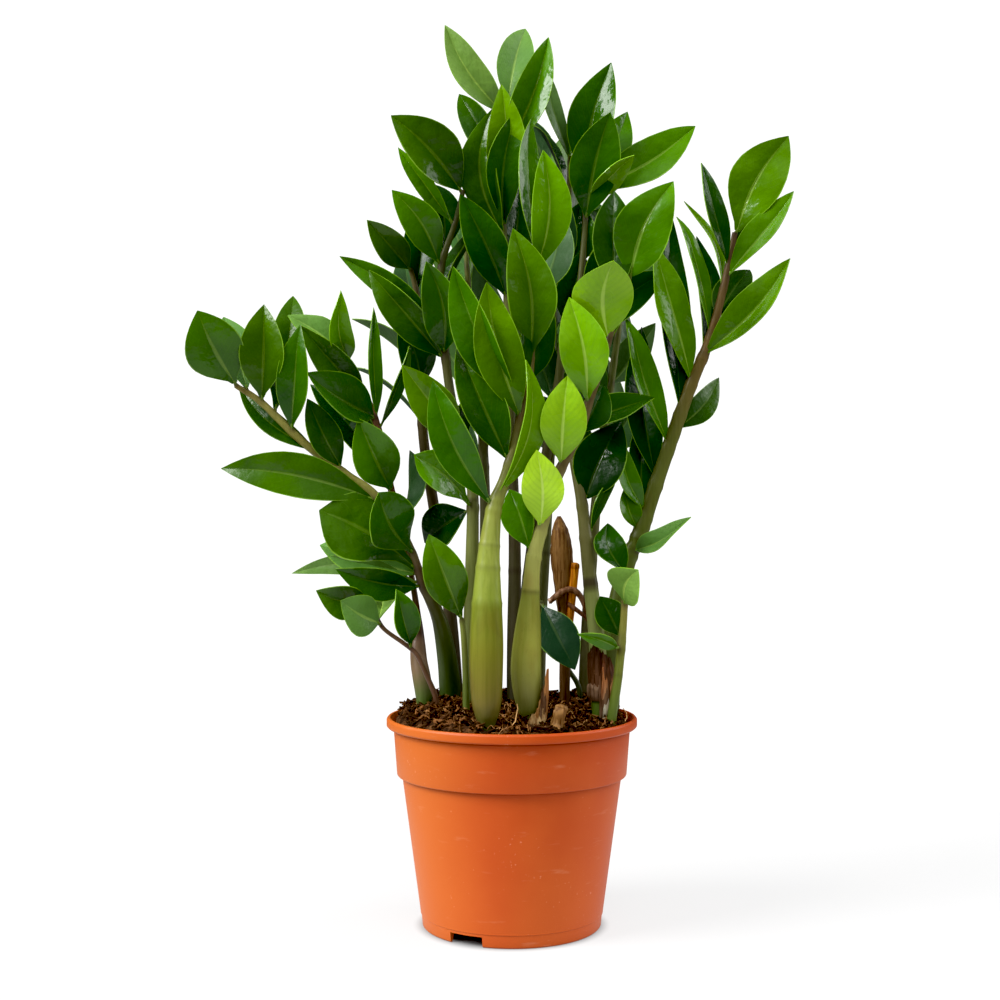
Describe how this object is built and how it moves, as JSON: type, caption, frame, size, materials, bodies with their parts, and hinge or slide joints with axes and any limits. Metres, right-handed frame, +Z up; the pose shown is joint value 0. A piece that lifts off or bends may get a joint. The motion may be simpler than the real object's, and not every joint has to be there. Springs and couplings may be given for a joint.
{
  "type": "potted zz plant",
  "caption": "Potted foliage plant: thick upright stems with glossy paired leaflets arching out of a filled, tapered plastic nursery pot that stands on its foot.",
  "frame": {"origin": "on the ground, at the middle of the pot's foot", "axes": "+Z up along the pot's axis, towards the top of the foliage; -Y towards the viewer of the picture, and +X to that viewer's right"},
  "size_m": [0.4084, 0.2252, 0.6238],
  "materials": {
    "pot": "satin, slightly dusty terracotta-coloured injection moulding",
    "soil": "coarse, moist peat and bark",
    "foliage": "glossy, waxy green leaflets on smooth green to olive stems",
    "dry_remains": "matt, dry and papery"
  },
  "bodies": {
    "root": {"pot": "pot", "soil": "soil", "frond_far_left": "foliage", "frond_left": "foliage", "frond_low_left": "foliage", "frond_short": "foliage", "frond_inner_left": "foliage", "frond_left_back": "foliage", "frond_front_left": "foliage", "frond_centre": "foliage", "frond_centre_right": "foliage", "frond_front_right": "foliage", "frond_right_inner": "foliage", "frond_right_arch": "foliage", "frond_low_right": "foliage", "frond_hanging": "foliage", "frond_rear_left": "foliage", "frond_rear": "foliage", "frond_rear_right": "foliage", "dry_cane": "dry_remains", "cut_stub": "dry_remains", "husk_right": "dry_remains", "husk_front": "dry_remains"}
  },
  "joints": []
}
